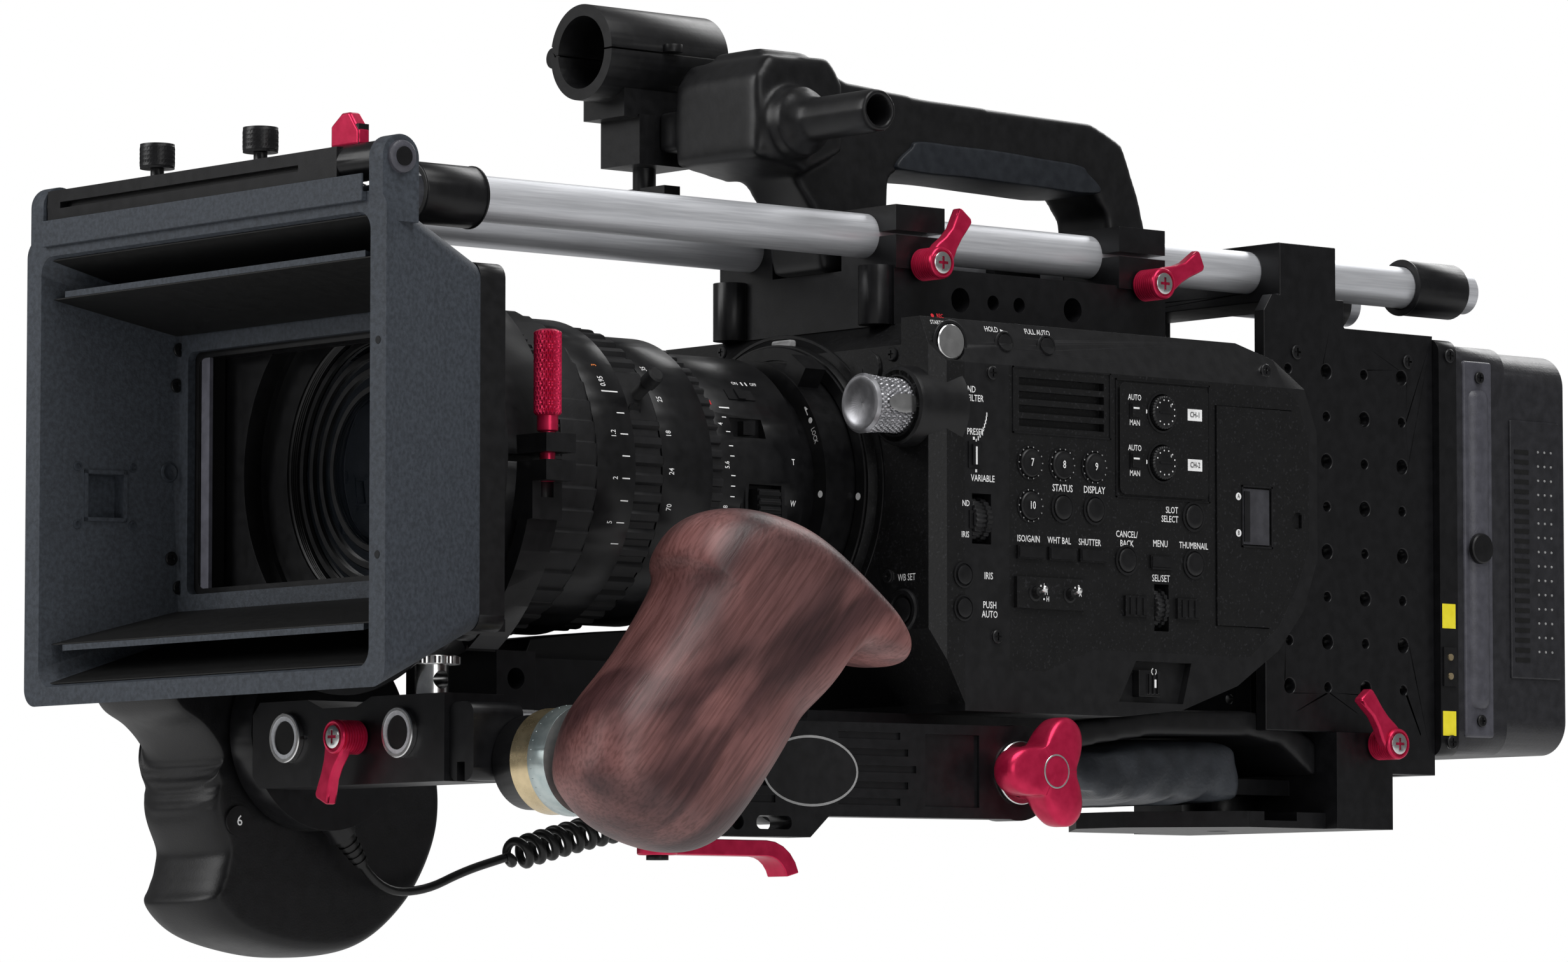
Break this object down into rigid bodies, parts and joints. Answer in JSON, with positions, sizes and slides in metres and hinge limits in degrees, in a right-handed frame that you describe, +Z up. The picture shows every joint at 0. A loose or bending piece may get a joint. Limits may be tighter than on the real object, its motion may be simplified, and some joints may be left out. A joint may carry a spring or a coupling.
{
  "type": "cinema camera rig",
  "caption": "Shoulder-mounted digital cinema camera with zoom lens, matte box, rod support, side grips, top handle and rear battery.",
  "frame": {"origin": "centre of the mouth of the tripod socket under the wedge plate", "axes": "+Z up; the lens looks along -Y; +X is the operator's left"},
  "size_m": [0.248, 0.5805, 0.325],
  "materials": {
    "body_black": "fine speckled matte black paint",
    "trim_black": "smooth matte black",
    "hood_grey": "grainy blue-grey moulded",
    "red_anodised": "red anodised",
    "black_anodised": "black anodised",
    "rod_silver": "satin silver",
    "ring_black": "satin black anodised",
    "lens_glass": "coated optical glass",
    "pad_foam": "soft matte foam",
    "battery_case": "textured dark grey",
    "walnut": "oiled walnut",
    "grip_rubber": "fine matte rubber",
    "cord_black": "smooth black jacket",
    "steel": "brushed",
    "board_green": "solder mask"
  },
  "bodies": {
    "rig": {"body_shell": "body_black", "front_casing": "body_black", "side_panel": "body_black", "sensor_block": "steel", "main_board": "board_green", "top_plate": "black_anodised", "top_rods": "rod_silver", "rod_caps": "black_anodised", "top_handle": "trim_black", "mic_holder": "trim_black", "lens_barrel": "trim_black", "lens_glass": "lens_glass", "mattebox_hood": "hood_grey", "filter_stage": "trim_black", "clamp_adaptor": "trim_black", "lower_rods": "rod_silver", "front_bracket": "black_anodised", "base_plate": "black_anodised", "shoulder_arch": "black_anodised", "shoulder_pad": "pad_foam", "wedge_base": "black_anodised", "rear_cage": "black_anodised", "battery_plate": "trim_black", "grip_flange": "black_anodised", "cord_relief": "cord_black", "grip_cord": "cord_black", "curly_cord": "cord_black", "cord_plug": "cord_black", "screws": "steel"},
    "card_door": {"card_door": "body_black"},
    "record_button": {"record_button": "rod_silver"},
    "filter_knob": {"filter_knob": "rod_silver"},
    "filter_wheel": {"filter_wheel": "black_anodised"},
    "iris_dial": {"iris_dial": "trim_black"},
    "select_wheel": {"select_wheel": "trim_black"},
    "power_switch": {"power_switch": "trim_black"},
    "mic_cap": {"mic_cap": "trim_black"},
    "focus_ring": {"focus_ring": "ring_black"},
    "zoom_ring": {"zoom_ring": "ring_black"},
    "iris_ring": {"iris_ring": "ring_black"},
    "zoom_group": {"zoom_group": "ring_black"},
    "lock_ring": {"lock_ring": "ring_black"},
    "zoom_rocker": {"zoom_rocker": "trim_black"},
    "flag_bar": {"flag_bar": "black_anodised"},
    "filter_tray": {"filter_tray": "trim_black"},
    "latch_top": {"latch_top": "black_anodised"},
    "latch_bottom": {"latch_bottom": "black_anodised"},
    "clamp_handle": {"clamp_handle": "red_anodised"},
    "battery": {"battery": "battery_case"},
    "lever_top_front": {"lever_top_front": "red_anodised"},
    "lever_top_rear": {"lever_top_rear": "red_anodised"},
    "lever_rear": {"lever_rear": "red_anodised"},
    "lever_bracket": {"lever_bracket": "red_anodised"},
    "side_arm": {"side_arm": "black_anodised"},
    "lever_arm": {"lever_arm": "red_anodised"},
    "wing_knob": {"wing_knob": "red_anodised"},
    "wood_grip": {"wood_grip": "walnut", "grip_rosette": "rod_silver"},
    "hand_grip": {"hand_grip": "grip_rubber"},
    "grip_button": {"grip_button": "trim_black"}
  },
  "joints": [
    {"name": "card_door_hinge", "type": "hinge", "parent": "rig", "child": "card_door", "pos_m": [0.0786, -0.035, 0.105], "axis": [0, 0, 1], "range_deg": [0, 100]},
    {"name": "record_press", "type": "slide", "parent": "rig", "child": "record_button", "axis": [-0.9162, 0, -0.4008], "range_m": [0, 0.0012], "stiffness_N_per_m": 600},
    {"name": "filter_knob_turn", "type": "hinge", "parent": "rig", "child": "filter_knob", "pos_m": [0.066, -0.215, 0.136], "axis": [0, 1, 0], "range_deg": [0, 270]},
    {"name": "filter_wheel_turn", "type": "hinge", "parent": "rig", "child": "filter_wheel", "pos_m": [0, -0.18, 0.087], "axis": [0, 1, 0], "range_deg": [0, 270]},
    {"name": "iris_dial_turn", "type": "hinge", "parent": "rig", "child": "iris_dial", "pos_m": [0.0726, -0.1845, 0.099], "axis": [0, 1, 0], "continuous": true},
    {"name": "select_wheel_turn", "type": "hinge", "parent": "rig", "child": "select_wheel", "pos_m": [0.0726, -0.102, 0.0725], "axis": [0, 1, 0], "continuous": true},
    {"name": "power_switch_slide", "type": "slide", "parent": "rig", "child": "power_switch", "axis": [0, 1, 0], "range_m": [0, 0.006]},
    {"name": "mic_cap_hinge", "type": "hinge", "parent": "rig", "child": "mic_cap", "pos_m": [-0.064, -0.23, 0.262], "axis": [0, -1, 0], "range_deg": [0, 90]},
    {"name": "focus_turn", "type": "hinge", "parent": "rig", "child": "focus_ring", "pos_m": [0, -0.341, 0.111], "axis": [0, 1, 0], "range_deg": [-60, 60]},
    {"name": "zoom_turn", "type": "hinge", "parent": "rig", "child": "zoom_ring", "pos_m": [0, -0.3047, 0.111], "axis": [0, 1, 0], "range_deg": [-30, 60]},
    {"name": "iris_turn", "type": "hinge", "parent": "rig", "child": "iris_ring", "pos_m": [0, -0.2725, 0.111], "axis": [0, 1, 0], "range_deg": [-30, 30]},
    {"name": "zoom_group_travel", "type": "slide", "parent": "rig", "child": "zoom_group", "axis": [0, 1, 0], "range_m": [-0.006, 0.012]},
    {"name": "lock_ring_turn", "type": "hinge", "parent": "rig", "child": "lock_ring", "pos_m": [0, -0.216, 0.111], "axis": [0, 1, 0], "range_deg": [0, 30]},
    {"name": "zoom_rocker_tilt", "type": "hinge", "parent": "rig", "child": "zoom_rocker", "pos_m": [0.041, -0.25, 0.097], "axis": [0, 1, 0], "range_deg": [-6, 6], "stiffness_Nm_per_rad": 0.3},
    {"name": "flag_bar_tilt", "type": "hinge", "parent": "rig", "child": "flag_bar", "pos_m": [0, -0.441, 0.198], "axis": [1, 0, 0], "range_deg": [-45, 45]},
    {"name": "filter_tray_pull", "type": "slide", "parent": "rig", "child": "filter_tray", "axis": [-1, 0, 0], "range_m": [0, 0.14]},
    {"name": "latch_top_turn", "type": "hinge", "parent": "rig", "child": "latch_top", "pos_m": [0.042, -0.378, 0.165], "axis": [0, -1, 0], "range_deg": [0, 90]},
    {"name": "latch_bottom_turn", "type": "hinge", "parent": "rig", "child": "latch_bottom", "pos_m": [0.044, -0.378, 0.059], "axis": [0, 1, 0], "range_deg": [0, 90]},
    {"name": "clamp_handle_turn", "type": "hinge", "parent": "rig", "child": "clamp_handle", "pos_m": [0.07, -0.363, 0.128], "axis": [0, 0, 1], "range_deg": [-180, 180]},
    {"name": "battery_lift", "type": "slide", "parent": "rig", "child": "battery", "axis": [0, 0, 1], "range_m": [0, 0.01]},
    {"name": "lever_top_front_turn", "type": "hinge", "parent": "rig", "child": "lever_top_front", "pos_m": [0.051, -0.183, 0.1865], "axis": [1, 0, 0], "range_deg": [-60, 120]},
    {"name": "lever_top_rear_turn", "type": "hinge", "parent": "rig", "child": "lever_top_rear", "pos_m": [0.051, -0.08, 0.1865], "axis": [1, 0, 0], "range_deg": [-50, 120]},
    {"name": "lever_rear_turn", "type": "hinge", "parent": "rig", "child": "lever_rear", "pos_m": [0.057, 0.028, 0.03], "axis": [1, 0, 0], "range_deg": [-60, 120]},
    {"name": "lever_bracket_turn", "type": "hinge", "parent": "rig", "child": "lever_bracket", "pos_m": [0.008, -0.396, 0.023], "axis": [0, 1, 0], "range_deg": [-60, 60]},
    {"name": "side_arm_swing", "type": "hinge", "parent": "rig", "child": "side_arm", "pos_m": [0.07, -0.166, 0.015], "axis": [1, 0, 0], "range_deg": [0, 60]},
    {"name": "lever_arm_turn", "type": "hinge", "parent": "side_arm", "child": "lever_arm", "pos_m": [0.0705, -0.318, -0.012], "axis": [0, 0, 1], "range_deg": [0, 70]},
    {"name": "wing_knob_turn", "type": "hinge", "parent": "rig", "child": "wing_knob", "pos_m": [0.087, -0.166, 0.015], "axis": [1, 0, 0], "range_deg": [-180, 180]},
    {"name": "wood_grip_tilt", "type": "hinge", "parent": "side_arm", "child": "wood_grip", "pos_m": [0.09, -0.366, 0.014], "axis": [1, 0, 0], "range_deg": [-45, 45]},
    {"name": "hand_grip_tilt", "type": "hinge", "parent": "rig", "child": "hand_grip", "pos_m": [-0.09, -0.357, 0.027], "axis": [1, 0, 0], "range_deg": [-4, 45]},
    {"name": "grip_button_press", "type": "slide", "parent": "hand_grip", "child": "grip_button", "axis": [-1, 0, 0], "range_m": [0, 0.0015], "stiffness_N_per_m": 500}
  ],
  "couplings": [
    {"joint": "filter_wheel_turn", "follows": "filter_knob_turn", "ratio": 1},
    {"joint": "zoom_group_travel", "follows": "zoom_turn", "m_per_rad": 0.011459}
  ]
}
